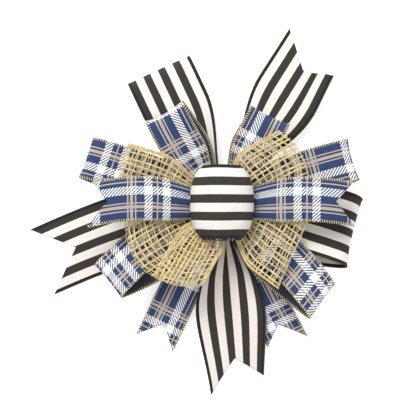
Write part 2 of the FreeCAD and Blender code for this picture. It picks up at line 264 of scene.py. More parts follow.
def curve_points(corners, count=240, fineness=120):
    """Evenly spaced points of a chain of cubic curves, their headings and distances."""
    corners = np.array(corners, dtype=float)
    pieces = (len(corners) - 1) // 3
    dense = []
    for piece in range(pieces):
        a, b, c, d = corners[3 * piece:3 * piece + 4]
        t = np.linspace(0, 1, fineness, endpoint=piece == pieces - 1)[:, None]
        dense.append(a * (1 - t) ** 3 + 3 * b * t * (1 - t) ** 2 + 3 * c * t * t * (1 - t) + d * t ** 3)
    dense = np.concatenate(dense)
    steps = np.linalg.norm(np.diff(dense, axis=0), axis=1)
    travelled = np.concatenate([[0], np.cumsum(steps)])
    distances = np.linspace(0, travelled[-1], count)
    points = np.stack([np.interp(distances, travelled, dense[:, axis]) for axis in (0, 1)], axis=1)
    headings = np.gradient(points, axis=0)
    headings /= np.linalg.norm(headings, axis=1)[:, None]
    return points, headings, distances


def turned(first, second, angle):
    """Turns a point in the plane of two axes."""
    cosine, sine = math.cos(angle), math.sin(angle)
    return first * cosine - second * sine, first * sine + second * cosine


class Ribbon:
    """A ribbon's surface: point() gives where a spot of the flat ribbon lies in the bow.

    The centre line is a side view, out from the hub and up. The ribbon is pinched into
    pleats at the hub and opens out to its full width. Distances are metres, turns degrees."""

    start = 0.0112                # from the bow's axis to the root
    slope = tilt = 0.0            # its rise outwards, and its lean about its own length
    root, spread = 0.2, 1.0       # share of its width that shows at the root, and once open
    opens = (0.0, 0.075)          # from where to where it opens out
    pleats, depth, phase = 2.5, 0.0028, 0.0  # how many, half how deep, where they start
    cup = 0.0                     # rise of its sides over its middle
    waves, seed = 0.0006, 0.0     # height of its small ripples, and where they fall
    sway = (0.0, 0.0)             # sideways bend half way out, and at the far end
    shear = bow = 0.0             # slant of the far end, and how far its sides hang back
    taper = 0.0                   # share of its width lost towards the far end
    lean = 0.0                    # how far a loop's two layers lie to either side
    crease = (0.0, 1.0, 0.0)      # a lengthwise crease: where across, how wide, how deep
    creased = (0.412, 1.0)        # from what share of the reach to what share it deepens
    roll, rolls = 0.0, (0.03, 0.105)  # how far its sides curl under, and from where to where

    def __init__(self, corners, width, turn, level, **shape):
        for name, value in shape.items():
            setattr(self, name, value)
        self.points, self.headings, self.distances = curve_points(corners)
        self.length = self.distances[-1]
        self.width = width
        self.level = level
        self.turn, self.slope, self.tilt = map(math.radians, (turn, self.slope, self.tilt))
        self.shear = math.tan(math.radians(self.shear))

    def point(self, along, across):
        """along is metres from the ribbon's start, across is -1 to 1."""
        x, z, hx, hz = (np.interp(along, self.distances, column) for column in (
            self.points[:, 0], self.points[:, 1], self.headings[:, 0], self.headings[:, 1]))
        far = x / self.points[:, 0].max()
        opened = smooth((x - self.opens[0]) / (self.opens[1] - self.opens[0]))
        share = self.root + (self.spread - self.root) * opened
        half_width = share * self.width / 2

        side = across * half_width * (1 - self.taper * smooth(far * 2 - 1))
        flat = smooth((x - self.rolls[0]) / (self.rolls[1] - self.rolls[0]))
        curl, kept_drop = 1e-4 + self.roll * (1 - flat), 0.35
        side = side * np.sinc(curl * across / math.pi)
        curl_drop = half_width * (np.cos(curl * across) - 1) / curl * kept_drop

        spot, fold_width, fold_depth = self.crease
        deepens = smooth((far - self.creased[0]) / (self.creased[1] - self.creased[0]))
        fold_depth = fold_depth * deepens
        off_crease = (across - spot) / fold_width
        side = side - np.sign(spot) * fold_depth * (1 + np.sign(spot) * np.tanh(off_crease))
        valley = fold_depth * 1.3 * np.exp(-off_crease ** 2)

        pinched = (1 - opened) ** 1.3
        pleat = self.depth * pinched * np.cos(2 * math.pi * (self.pleats * across / 2 + self.phase))
        bowl = self.cup * opened * (across ** 2 - 0.33) - valley
        short_wave = np.sin(along * 70 + self.seed) * across * opened
        long_wave = np.sin(along * 43 + self.seed * 2 + across * 2.1) * 0.7
        ripple = self.waves * (short_wave + long_wave)
        lift = pleat + bowl + ripple + curl_drop

        px = x - hz * lift - (self.shear * side + self.bow * across ** 2) * far
        pz = z + hx * lift
        py = side + self.sway[0] * np.sin(math.pi * far) + self.sway[1] * far ** 2
        layer = np.tanh((along / self.length - 0.5) * 12)
        py = py + self.lean * layer * np.sin(math.pi * np.clip(far, 0, 1)) ** 0.8
        py, pz = turned(py, pz, self.tilt)
        px, pz = turned(px, pz, self.slope)
        px, py = turned(px + self.start, py, self.turn)
        return np.stack([px, py, pz + self.level], axis=-1)

    def frame_at(self, along, across):
        """Unit vectors along, across and out of the cloth."""
        step, side_step = 0.4 * MM, 0.01
        ahead = self.point(along + step, across) - self.point(along - step, across)
        beside = self.point(along, across + side_step) - self.point(along, across - side_step)
        ahead /= np.linalg.norm(ahead, axis=-1, keepdims=True)
        out = np.cross(ahead, beside)
        out /= np.linalg.norm(out, axis=-1, keepdims=True)
        return ahead, np.cross(out, ahead), out


def loop_side(length, height, nose=1.25, belly=0.5):
    """Side view of a folded loop, as cubic curves: out along its back, round, and home.

    height is half the loop's, nose the length of its fold in heights, and belly where along
    it has its full height."""
    root_gap, arc = 1.6 * MM, 0.552
    front = length - nose * height
    back, home = -root_gap - height * 0.25, root_gap + height * 0.35
    return [
        (0, -root_gap), (front * 0.30, back), (front * belly, -height),
        (front, -height), (front + arc * nose * height, -height), (length, -height * arc),
        (length, 0), (length, height * arc), (front + arc * nose * height, height),
        (front, height), (front * belly, height), (front * 0.30, home),
        (0, root_gap),
    ]


def laid_out(name, shape, points, flat_points):
    """A mesh of a bmesh's faces, with its corners moved to points, and its map in metres."""
    mesh = bpy.data.meshes.new(name)
    shape.to_mesh(mesh)
    shape.free()
    mesh.vertices.foreach_set("co", points.astype(np.float32).ravel())
    corners = np.zeros(len(mesh.loops), dtype=np.int32)
    mesh.loops.foreach_get("vertex_index", corners)
    layer = mesh.uv_layers.new(name="strip")
    layer.data.foreach_set("uv", flat_points[corners].astype(np.float32).ravel())
    return mesh


def smooth_piece(name, mesh, *materials):
    """A piece made of a mesh, with a smooth surface."""
    mesh.polygons.foreach_set("use_smooth", [True] * len(mesh.polygons))
    mesh.update()
    for material in materials:
        mesh.materials.append(material)
    piece = bpy.data.objects.new(name, mesh)
    bpy.context.collection.objects.link(piece)
    return piece


def closed_up(mesh, merge_distance, fill=False):
    """Welds a mesh's seams, fills its ends if asked, and turns its faces outwards."""
    shape = bmesh.new()
    shape.from_mesh(mesh)
    bmesh.ops.remove_doubles(shape, verts=shape.verts, dist=merge_distance)
    if fill:
        bmesh.ops.holes_fill(shape, edges=[edge for edge in shape.edges if edge.is_boundary])
    bmesh.ops.recalc_face_normals(shape, faces=shape.faces)
    shape.to_mesh(mesh)
    shape.free()


def strip_mesh(name, steps, place, uv):
    """A grid laid out by place(a, b), with a and b from 0 to 1, and mapped by uv(a, b)."""
    shape = bmesh.new()
    bmesh.ops.create_grid(shape, x_segments=steps[0], y_segments=steps[1], size=0.5)
    a, b = (np.array([corner.co[:2] for corner in shape.verts]) + 0.5).T
    return laid_out(name, shape, place(a, b), np.stack(uv(a, b), axis=-1))


def thicken(piece, inner_slot=0):
    """Gives a sheet the cloth's thickness, with another material inside if it has one."""
    wall = piece.modifiers.new("cloth", "SOLIDIFY")
    wall.thickness = CLOTH
    wall.offset = 0
    wall.material_offset = inner_slot


def cloth_of(name, ribbon, front, back, thin_side, ends=None, pattern=(1, 0.0)):
    """The ribbon's cloth. thin_side is -1 or 1: the side its pattern starts from.

    ends(across) is where a cut tail stops along its length; a loop has none. The pattern
    runs outwards or inwards, and starts at a distance of its own."""
    def reach(across):
        return ribbon.length if ends is None else ends(across)

    def place(a, b):
        across = b * 2 - 1
        return ribbon.point(a * reach(across), across)

    def uv(a, b):
        across = b * 2 - 1
        from_edge = (1 - thin_side * across) / 2 * ribbon.width
        return a * reach(across) * pattern[0] + pattern[1], from_edge

    steps = (int(ribbon.length / (2.2 * MM)), 28)
    piece = smooth_piece(name, strip_mesh(name, steps, place, uv), front, back)
    thicken(piece, inner_slot=1)
    return piece


def thread_piece(name, threads, material, sides=6):
    """Round threads in one piece. Each is its centre line and two cross vectors per point."""
    shape = bmesh.new()
    points, flat_points = [], []
    for line, first, second in threads:
        last = len(line) - 1
        grid = bmesh.ops.create_grid(shape, x_segments=last, y_segments=sides, size=0.5)["verts"]
        a, b = (np.array([corner.co[:2] for corner in grid]) + 0.5).T
        ring = np.rint(a * last).astype(int)
        round_it = b[:, None] * 2 * math.pi
        points.append(line[ring] + first[ring] * np.cos(round_it) + second[ring] * np.sin(round_it))
        step = np.linalg.norm(np.diff(line, axis=0), axis=1).mean()
        flat_points.append(np.stack([ring * step, b * MM], axis=-1))
    mesh = laid_out(name, shape, np.concatenate(points), np.concatenate(flat_points))
    closed_up(mesh, 1e-7, fill=True)
    return smooth_piece(name, mesh, material)


def rolled_edges(name, ribbon, ends, radius, material):
    """A thin cord rolled into each side of the ribbon."""
    cords = []
    for side in (-1.0, 1.0):
        stop = ribbon.length if ends is None else ends(side)
        along = np.linspace(0, stop, int(stop / (2 * MM)))
        edge = np.full_like(along, side)
        _, beside, out = ribbon.frame_at(along, edge)
        cords.append((ribbon.point(along, edge), beside * radius, out * radius))
    return thread_piece(name, cords, material)


def settle(piece, body, node):
    """Puts a piece on its body, in place of a node if there is one for it."""
    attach(piece, body)
    if node:
        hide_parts(node)


def notched(left, right, notch):
    """Where a notched tail ends: a tip at each side and a cut between them."""
    def ends(across):
        tip = np.where(np.asarray(across) > 0, left, right)
        return notch + (tip - notch) * np.abs(across)
    return ends


def cut_area(ribbon, ends):
    """The flat area of a ribbon, less what a tail's notch takes."""
    if ends is None:
        return ribbon.width * ribbon.length
    return ribbon.width * float(ends(np.linspace(-1, 1, 41)).mean())


selvedge_finish = Finish("black_selvedge", Roughness=0.8)
fuzz = selvedge_finish.noise(selvedge_finish.object_place(), 2500, 3.0)
selvedge_finish.paint("Base Color", selvedge_finish.blend(fuzz, srgb(26, 24, 24), srgb(62, 58, 57)))
selvedge_finish.bump(fuzz, 0.2 * MM)
selvedge = selvedge_finish.material

STRIPED_WIDTH = 63.5 * MM


def striped_piece(name, ribbon, thin_side, ends=None):
    cloth = cloth_of(name + "_cloth", ribbon, canvas, canvas, thin_side, ends)
    settle(cloth, name, name)
    edge = rolled_edges(name + "_selvedge", ribbon, ends, 0.9 * MM, selvedge)
    settle(edge, name, name + "_edging")
    cut_area(ribbon, ends)


striped_piece("striped_loop_upper_left", Ribbon(
    loop_side(0.1235, 0.0105), STRIPED_WIDTH, turn=115.2, level=0.0167, slope=2.5,
    root=0.22, spread=0.95, opens=(-0.005, 0.085), phase=0.1, seed=1.0, cup=0.001), thin_side=-1)
striped_piece("striped_loop_right", Ribbon(
    loop_side(0.1125, 0.0108, nose=1.0), STRIPED_WIDTH, turn=-12.8, level=0.0175,
    slope=2.7, tilt=-11, root=0.22, opens=(0.0, 0.08), phase=0.3, seed=2.0, cup=-0.0015,
    lean=0.0038), thin_side=-1)


def tail_side(length, rise, droop):
    """Side view of a tail: out from the hub, over a low arch, and down to its tip."""
    return [(0, 0), (length * 0.3, rise), (length * 0.65, rise * 0.6 + droop * 0.5), (length, droop)]


striped_piece("striped_tail_upper_right", Ribbon(
    tail_side(0.166, 0.004, -0.005), STRIPED_WIDTH, turn=58.2, level=0.0106,
    opens=(0.002, 0.110), phase=0.2, seed=3.0, cup=-0.003, taper=0.03,
    crease=(-0.45, 0.22, 0.0026)), thin_side=1,
    ends=notched(0.1610, 0.146, 0.134))
striped_piece("striped_tail_left", Ribbon(
    tail_side(0.172, 0.005, -0.005), STRIPED_WIDTH, turn=197.6, level=0.0106,
    opens=(0.0, 0.085), phase=0.4, seed=4.0, cup=-0.002, sway=(-0.0045, 0.003)), thin_side=1,
    ends=notched(0.163, 0.166, 0.130))
striped_piece("striped_tail_bottom", Ribbon(
    tail_side(0.172, 0.012, -0.005), STRIPED_WIDTH, turn=-85.0, level=0.0106,
    opens=(0.0, 0.060), phase=0.5, seed=5.0, cup=-0.002, pleats=3, taper=0.24, roll=1.85,
    crease=(-0.08, 0.10, 0.0022), creased=(0.5, 0.12)), thin_side=-1,
    ends=notched(0.153, 0.167, 0.134))

# ---- Plaid ribbon ---------------------------------------------------------------------
# Wired ribbon printed with a navy, white and tan plaid, dark on its inner face. Gold thread
# is overlocked round a wire along each edge. Six folded loops and four notched tails.

PLAID_WIDTH = 38.1 * MM


def plaid_print():
    finish = Finish("plaid_print", Roughness=0.78)
    along, across, place = finish.strip_uv()
    fray = (finish.noise(place, 1500) - 0.5) * (0.35 * MM)
    along, across = along + fray, across + fray
    wider_than_ribbon, repeat, twill_pitch = 40, 61.7, 3.0 * MM
    warp_tan = finish.bands(
        across, wider_than_ribbon, [(4.2, 5.3), (22.3, 23.4), (24.8, 27.4), (29.1, 30.3)])
    warp_white = finish.bands(across, wider_than_ribbon, [(8.4, 15.6)])
    triple = along + 4 * MM
    weft_tan = finish.bands(triple, repeat, [(0.1, 1.3), (2.7, 5.3), (6.8, 8.0), (26, 27.2)])
    weft_white = finish.bands(triple, repeat, [(15, 22), (31.2, 38.2)])
    twill = (along + across).wrapped(twill_pitch) / twill_pitch
    white = (warp_white * twill.above(0.44)).math("MAXIMUM", weft_white * (1 - twill.above(0.56)))
    fleck = finish.noise(place, 2600, 2.0, 0.6)
    gap = finish.noise(place, 1100, 2.0, 0.6)
    cloud = finish.noise(place, 120, 2.0)
    navy = finish.blend(fleck * 0.6 + cloud * 0.4, srgb(22, 40, 80), srgb(58, 80, 124))
    tan = finish.blend(fleck, srgb(158, 142, 128), srgb(228, 216, 202))
    print_colour = finish.blend(
        warp_tan.math("MAXIMUM", weft_tan) * (0.30 + gap * 1.15).math("MINIMUM", 1), navy, tan)
    print_colour = finish.blend(white, print_colour, srgb(250, 250, 250))
    finish.paint("Base Color", print_colour)
    finish.bump(weave_height(finish, place, 0.45 * MM) + white * 0.5, 0.09 * MM)
    return finish.material


def plaid_inside():
    finish = Finish("plaid_inside", Roughness=0.85)
    _, _, place = finish.strip_uv()
    fleck = finish.noise(finish.stretched(place, 600, 3000), 1.0, 3.0, 0.6)
    finish.paint("Base Color", finish.blend(fleck, srgb(34, 37, 50), srgb(70, 74, 92)))
    finish.bump(weave_height(finish, place, 0.45 * MM), 0.08 * MM)
    return finish.material


def gold_thread():
    finish = Finish("gold_thread", Metallic=0.35, Roughness=0.42)
    _, _, place = finish.strip_uv()
    patch = finish.noise(finish.object_place(), 700, 2.0)
    strand = finish.noise(finish.stretched(place, 900, 4000), 1.0, 2.0)
    tone = (patch * 1.3 + strand * 0.5 - 0.4).held()
    finish.paint("Base Color", finish.blend(tone, srgb(196, 170, 96), srgb(255, 246, 204)))
    finish.bump(strand, 0.1 * MM)
    return finish.material


plaid, plaid_back, gold = plaid_print(), plaid_inside(), gold_thread()


def overlocked_edges(name, ribbon, ends):
    """Gold thread wound round each side of the ribbon, once every stitch."""
    stitch, points_per_stitch = 2.1 * MM, 9
    half_width, half_height, thread = 1.1 * MM, 0.5 * MM, 0.44 * MM
    threads = []
    for side in (-1.0, 1.0):
        stop = ribbon.length if ends is None else ends(side)
        along = np.linspace(0, stop, int(stop / stitch * points_per_stitch))
        inset = np.full_like(along, side * (1 - 1.6 * half_width / ribbon.width))
        ahead, beside, out = ribbon.frame_at(along, inset)
        angle = along / stitch * 2 * math.pi
        wide, tall = np.cos(angle)[:, None], np.sin(angle)[:, None]
        line = ribbon.point(along, inset) + beside * wide * half_width + out * tall * half_height
        threads.append((line, (beside * wide + out * tall) * thread * 0.8, ahead * thread))
    return thread_piece(name, threads, gold, sides=5)


def plaid_piece(name, ribbon, thin_side, starts, ends=None):
    """starts is the pattern's distance at a loop's fold, or at a tail's root."""
    if ends is None:
        pattern = (-thin_side, starts + thin_side * ribbon.length / 2)
        faces = (plaid_back, plaid)
    else:
        pattern = (thin_side, starts)
        faces = (plaid, plaid_back)
    cloth = cloth_of(name + "_cloth", ribbon, *faces, thin_side, ends, pattern)
    settle(cloth, name, name)
    edge = overlocked_edges(name + "_gold_stitches", ribbon, ends)
    settle(edge, name, name + "_edging")
    cut_area(ribbon, ends)


def plaid_loop(name, length, turn, level, slope, thin_side, starts, held_by="side_gather", **shape):
    side = loop_side(length, height=0.0072)
    plaid_piece(name, Ribbon(side, PLAID_WIDTH, turn, level, slope=slope, opens=(-0.004, 0.05),
                             depth=0.0022, **shape), thin_side, starts)


plaid_loop("plaid_loop_upper_left", 0.0855, 122.2, 0.0235, 12, -1, 28.7 * MM, "upper_gather",
           tilt=-6, shear=-5.4, cup=-0.002, phase=0.1, seed=1.5, lean=0.0022)
plaid_loop("plaid_loop_upper_right", 0.0790, 60.8, 0.0235, 8, 1, 58.7 * MM, "upper_gather",
           shear=2.2, cup=-0.001, phase=0.4, seed=2.5, lean=-0.001)
plaid_loop("plaid_loop_left", 0.1165, 161.6, 0.0310, 2, 1, 51 * MM,
           tilt=6, shear=-1, cup=-0.001, phase=0.2, seed=3.5, lean=-0.0015)
plaid_loop("plaid_loop_right", 0.1125, 18.2, 0.0310, 3, -1, 22.7 * MM,
           tilt=-6, shear=-3.4, cup=-0.001, phase=0.3, seed=4.5, lean=0.002)
plaid_loop("plaid_loop_lower_left", 0.1120, 214.8, 0.0310, 2, -1, 5.5 * MM,
           tilt=12, shear=5, cup=-0.001, seed=5.5, lean=-0.0068)
plaid_loop("plaid_loop_lower_right", 0.1140, -44.4, 0.0310, 5.5, 1, 37 * MM,
           tilt=-9, shear=4.9, cup=-0.001, phase=0.5, seed=6.5, lean=0.0050)


def plaid_tail(name, side, turn, level, thin_side, starts, ends, flat_length, held_by, **shape):
    plaid_piece(name, Ribbon(side, PLAID_WIDTH, turn, level, depth=0.002, **shape), thin_side,
                starts * MM, ends)


plaid_tail("plaid_tail_lower_left", tail_side(0.140, -0.002, -0.008), 244.6, 0.0126, 1, -101,
           notched(0.134, 0.1335, 0.114), 0.134, "tails_gather", opens=(-0.004, 0.05), seed=7.5)
plaid_tail("plaid_tail_lower_right", tail_side(0.140, 0.002, -0.004), -64.2, 0.0088, -1, 66.5,
           notched(0.1365, 0.129, 0.114), 0.1365, "tails_gather", opens=(-0.004, 0.05), seed=8.5,
           sway=(-0.002, 0.0))
front_arc = [(0, 0), (0.018, 0.007), (0.036, 0.016), (0.060, 0.016), (0.075, 0.016),
             (0.085, 0.013), (0.100, 0.010)]
plaid_tail("plaid_tail_front_left", front_arc, 180.3, 0.0496, -1, 53,
           notched(0.092, 0.0870, 0.0740), 0.092, "front_gather", opens=(-0.012, 0.029), root=0.70,
           start=0.0275, pleats=3, cup=-0.002, seed=9.5, sway=(-0.0050, 0.0045))
plaid_tail("plaid_tail_front_right", front_arc, -0.2, 0.0496, 1, -25.5,
           notched(0.0890, 0.0905, 0.0730), 0.0905, "front_gather", opens=(-0.012, 0.029), root=0.70,
           start=0.0275, pleats=3, cup=-0.002, seed=10.5, sway=(0.0040, -0.0035))

# ---- Jute ribbon ----------------------------------------------------------------------
# Open-weave ribbon of flat jute yarns, eleven across, with a corded wire bound into each
# edge. Five folded loops fan out over the plaid, and the bottom one lies on its neighbour.

JUTE_WIDTH = 63.5 * MM
JUTE_WARPS = 11
JUTE_PITCH = 5.9 * MM
JUTE_YARN_WIDTH = 1.2 * MM


def jute_yarn(name, dark, light):
    finish = Finish(name, Roughness=0.5)
    _, _, place = finish.strip_uv()
    fibre = finish.noise(finish.stretched(place, 250, 5200), 1.0, 3.0, 0.65)
    patch = finish.noise(finish.object_place(), 160, 2.0)
    tone = (fibre * 1.3 + patch - 0.50).held()
    finish.paint("Base Color", finish.blend(tone, dark, light))
    finish.bump(fibre, 0.35 * MM)
    return finish.material


jute = jute_yarn("jute_yarn", srgb(172, 126, 50), srgb(255, 241, 188))
jute_cord = jute_yarn("jute_cord", srgb(178, 134, 56), srgb(255, 238, 180))


def jute_yarns(ribbon, seed):
    """Flat yarns along the ribbon and across it, over and under in turn, a little uneven."""
    draw = np.random.default_rng(seed)
    half_thick, lift, uneven = 0.30 * MM, 0.42 * MM, 0.16
    threads = []
    for number in range(JUTE_WARPS):
        along = np.linspace(0, ribbon.length, int(ribbon.length / (1.4 * MM)))
        spot = -1 + 2 * (number + 0.5 + draw.uniform(-uneven, uneven)) / JUTE_WARPS
        spot = spot + 0.014 * np.sin(along * draw.uniform(90, 160) + draw.uniform(0, 6))
        _, beside, out = ribbon.frame_at(along, spot)
        weave = lift * np.cos(math.pi * (along / JUTE_PITCH - 0.5 + number))
        line = ribbon.point(along, spot) + out * weave[:, None]
        wide = JUTE_YARN_WIDTH / 2 * draw.uniform(0.85, 1.2)
        threads.append((line, beside * wide, out * half_thick))
    for number in range(int(ribbon.length / JUTE_PITCH)):
        spot = np.linspace(-1, 1, 60)
        along = (number + 0.5 + draw.uniform(-uneven, uneven)) * JUTE_PITCH
        along = along + 0.6 * MM * np.sin(spot * draw.uniform(3, 8) + draw.uniform(0, 6))
        ahead, _, out = ribbon.frame_at(along, spot)
        across = (spot + 1) / 2 * JUTE_WARPS - 0.5
        weave = -lift * np.cos(math.pi * (across + number))
        line = ribbon.point(along, spot) + out * weave[:, None]
        wide = JUTE_YARN_WIDTH / 2 * draw.uniform(0.8, 1.15)
        threads.append((line, ahead * wide, out * half_thick))
    return threads


def jute_cords(ribbon):
    """Two strands twisted round each other along each side of the ribbon."""
    strand, offset, lay, point_gap = 0.5 * MM, 0.45 * MM, 3.4 * MM, 0.45 * MM
    along = np.linspace(0, ribbon.length, int(ribbon.length / point_gap))
    cords = []
    for side in (-1.0, 1.0):
        edge = np.full_like(along, side * 0.985)
        _, beside, out = ribbon.frame_at(along, edge)
        for first_turn in (0.0, math.pi):
            angle = along / lay * 2 * math.pi + first_turn
            wide, tall = np.cos(angle)[:, None], np.sin(angle)[:, None]
            line = ribbon.point(along, edge) + (beside * wide + out * tall * 0.7) * offset
            cords.append((line, beside * strand, out * strand * 0.8))
    return cords


def jute_loop(name, length, turn, level, slope, seed, spread=0.9, opens=0.055, **shape):
    ribbon = Ribbon(loop_side(length, 6.2 * MM, belly=0.55), JUTE_WIDTH, turn, level, slope=slope,
                    spread=spread, root=0.16, opens=(-0.006, opens), depth=2.5 * MM,
                    waves=0.4 * MM, **shape)
    mesh = thread_piece(name + "_yarns", jute_yarns(ribbon, seed), jute)
    settle(mesh, name, name)
    edge = thread_piece(name + "_cords", jute_cords(ribbon), jute_cord, sides=5)
    settle(edge, name, name + "_edging")
    wefts = int(ribbon.length / JUTE_PITCH)
    yarn_area = JUTE_YARN_WIDTH * (JUTE_WARPS * ribbon.length + wefts * ribbon.width)


jute_loop("jute_loop_left", 0.0845, 163.5, 0.0377, 10.5, 11, shear=3, cup=-0.003, spread=0.84,
          bow=0.004)
jute_loop("jute_loop_upper_right", 0.0740, 33.0, 0.0377, 12, 12, cup=-0.005, spread=0.80,
          opens=0.034, bow=0.011, sway=(0.003, 0))
jute_loop("jute_loop_lower_left", 0.0820, 211.5, 0.0377, 10, 13, cup=-0.004, spread=0.97,
          opens=0.045, bow=0.014)
jute_loop("jute_loop_lower_right", 0.0690, -36.8, 0.0377, 12.8, 14, shear=14, cup=-0.003,
          spread=0.97, opens=0.045, bow=0.003)
jute_loop("jute_loop_bottom", 0.0760, 240.5, 0.0427, 20.5, 15, cup=-0.005, spread=0.64,
          opens=0.040, bow=0.010, shear=20)

# ---- Hub ------------------------------------------------------------------------------
# Each layer of ribbon is pinched into a gather, and the gathers are stacked and bound with
# a wire. The wire bites a valley into both sides of the stack.

def closed_form(name, steps, place, material):
    """A closed shape: a goes from one pole to the other, and b once round."""
    mesh = strip_mesh(name, steps, place, lambda a, b: (b * 0.075, a * PLAID_WIDTH))
    closed_up(mesh, 1e-6)
    return smooth_piece(name, mesh, material)


def pill(a, low, high, bulge=3.0):
    """Share of the radius, and height, along a rounded drum's side from pole to pole."""
    turn = (a - 0.5) * math.pi
    share = np.abs(np.cos(turn)) ** (2 / bulge)
    rise = np.sign(np.sin(turn)) * np.abs(np.sin(turn)) ** (2 / bulge)
    return share, (low + high) / 2 + rise * (high - low) / 2


def round_axis(turn, radius, height):
    """Places at a turn round the bow's axis, a radius from it and a height."""
    return np.stack([radius * np.cos(turn), radius * np.sin(turn), height], axis=-1)


def gather(node, material, pleats, seed):
    """A drum of pleats on the bow's axis, with a valley on two sides where the tie runs."""
    low, high = (corner[2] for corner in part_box(node))

    def place(a, b):
        turn = b * 2 * math.pi
        share, height = pill(a, low, high)
        pleat = 1 + 0.055 * np.cos(pleats * turn + seed)
        pleat = pleat + 0.03 * np.cos((pleats * 2 + 3) * turn + seed * 3)
        from_tie = np.abs(np.abs((b - 0.25) % 0.5 - 0.25) - 0.25) * 2 * math.pi
        valley = 0.2 * np.exp(-(from_tie / 0.20) ** 2)
        return round_axis(turn, 11.7 * MM * share * (pleat - valley), height)

    piece = closed_form(node + "_pleats", (20, 180), place, material)
    settle(piece, "hub", node)


gather("tails_gather", canvas, 21, 0.3)
gather("striped_gather", canvas, 17, 1.1)
gather("upper_gather", plaid, 19, 2.2)
gather("side_gather", plaid, 23, 0.8)
gather("jute_gather", jute, 26, 1.7)

# A short length of plaid, pinched at its middle: the two front tails come out of its mouths.
bow_tie_reach = 29 * MM
bow_tie = Ribbon([(0, 0), (0.01, 0), (0.02, 0), (bow_tie_reach, 0)], PLAID_WIDTH, 0, 0.0491,
                 root=0.21, spread=0.70, opens=(0.001, 0.027), start=0.0, pleats=5,
                 depth=0.9 * MM, waves=0)


def bow_tie_place(a, b):
    """From the left mouth through the pinched neck to the right one."""
    along = (a - 0.5) * 2 * bow_tie_reach
    spot = bow_tie.point(np.abs(along), b * 2 - 1)
    spot[:, 0] *= np.sign(along)
    return spot


def bow_tie_uv(a, b):
    """Lines the plaid up with that of the front tails."""
    return (a - 0.5) * 2 * bow_tie_reach - 53 * MM, (1 - b) * PLAID_WIDTH


front_gather = smooth_piece("front_gather_cloth", strip_mesh(
    "front_gather_cloth", (60, 60), bow_tie_place, bow_tie_uv), plaid, plaid_back)
thicken(front_gather, inner_slot=1)
settle(front_gather, "hub", "front_gather")

# ---- Tie ------------------------------------------------------------------------------
# A chenille stem: two twisted wires with short fibres caught between them. One turn binds
# the gathers, a run crosses the back, and a straight leg stands out on each side to tie the bow on.

chenille = Finish("chenille", Roughness=0.9)
pile = chenille.noise(chenille.object_place(), 900, 3.0)
chenille.paint("Base Color", chenille.blend(pile, srgb(196, 190, 176), srgb(246, 242, 232)))
chenille.bump(pile, 0.3 * MM)


def chenille_stem(name, line, first, second, radius, seed, fibres_per_mm=18):
    """Two wires twisted round a line, and fibres that stand out of them."""
    draw = np.random.default_rng(seed)
    lay, fibre_radius = 3.2 * MM, 0.13 * MM
    along = np.concatenate([[0], np.cumsum(np.linalg.norm(np.diff(line, axis=0), axis=1))])
    threads = []
    for first_turn in (0, math.pi):
        turn = (along / lay * 2 * math.pi + first_turn)[:, None]
        offset = first * np.cos(turn) + second * np.sin(turn)
        threads.append((line + offset * radius * 0.33, first * radius * 0.4, second * radius * 0.4))
    for _ in range(int(along[-1] / MM * fibres_per_mm)):
        spot = draw.integers(1, len(line) - 1)
        turn = draw.uniform(0, 2 * math.pi)
        out = first[spot] * math.cos(turn) + second[spot] * math.sin(turn)
        ahead = line[spot + 1] - line[spot]
        ahead = ahead / np.linalg.norm(ahead)
        start = line[spot] + ahead * draw.uniform(-0.4, 0.4) * MM
        tip = start + out * radius * draw.uniform(0.75, 1.0) + ahead * draw.uniform(-0.5, 0.5) * MM
        fibre = np.stack([start, (start + tip) / 2, tip])
        taper = np.array([[1.0], [0.9], [0.4]]) * fibre_radius
        threads.append((fibre, ahead[None] * taper, np.cross(out, ahead)[None] * taper))
    return thread_piece(name, threads, chenille.material, sides=5)


def straight(start, stop, points):
    """A line along X behind the gathers, and its two cross vectors."""
    level = 3.8 * MM
    line = np.stack([np.linspace(start, stop, points), np.zeros(points), np.full(points, level)],
                    axis=-1)
    return line, np.tile([0.0, 1.0, 0.0], (points, 1)), np.tile([0.0, 0.0, 1.0], (points, 1))


for side, way in (("left", -1), ("right", 1)):
    leg = chenille_stem(f"tie_leg_{side}_stem", *straight(way * 19.6 * MM, way * 67.6 * MM, 110),
                        radius=1.5 * MM, seed=31)
    settle(leg, f"tie_leg_{side}", f"tie_leg_{side}")
run = chenille_stem("tie_back_run_stem", *straight(-18.8 * MM, 18.8 * MM, 90),
                    radius=1.75 * MM, seed=32)
settle(run, "hub", "tie_back_run")


def squared(wave):
    """Turns a circle's sine or cosine into that of a square with round corners."""
    return np.sign(wave) * np.abs(wave) ** 0.28


band_low, band_high = (corner[2] + way * MM for corner, way in zip(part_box("tie_wire_band"), (1, -1)))
band_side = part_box("tie_wire_band")[1][1] - 1 * MM
band_turn = np.linspace(0, 2 * math.pi, 260)
band_line = np.stack([
    np.zeros_like(band_turn),
    band_side * squared(np.cos(band_turn)),
    (band_low + band_high) / 2 + (band_high - band_low) / 2 * squared(np.sin(band_turn)),
], axis=-1)
band_ahead = np.gradient(band_line, axis=0)
band_ahead /= np.linalg.norm(band_ahead, axis=1)[:, None]
band_first = np.tile([1.0, 0.0, 0.0], (len(band_line), 1))
band = chenille_stem("tie_wire_band_stem", band_line, band_first, np.cross(band_ahead, band_first),
                     radius=1.0 * MM, seed=33, fibres_per_mm=10)
settle(band, "hub", "tie_wire_band")

# ---- Felt pad -------------------------------------------------------------------------
# A disc punched from pressed wool felt and glued on behind, so that the wire doesn't scratch.

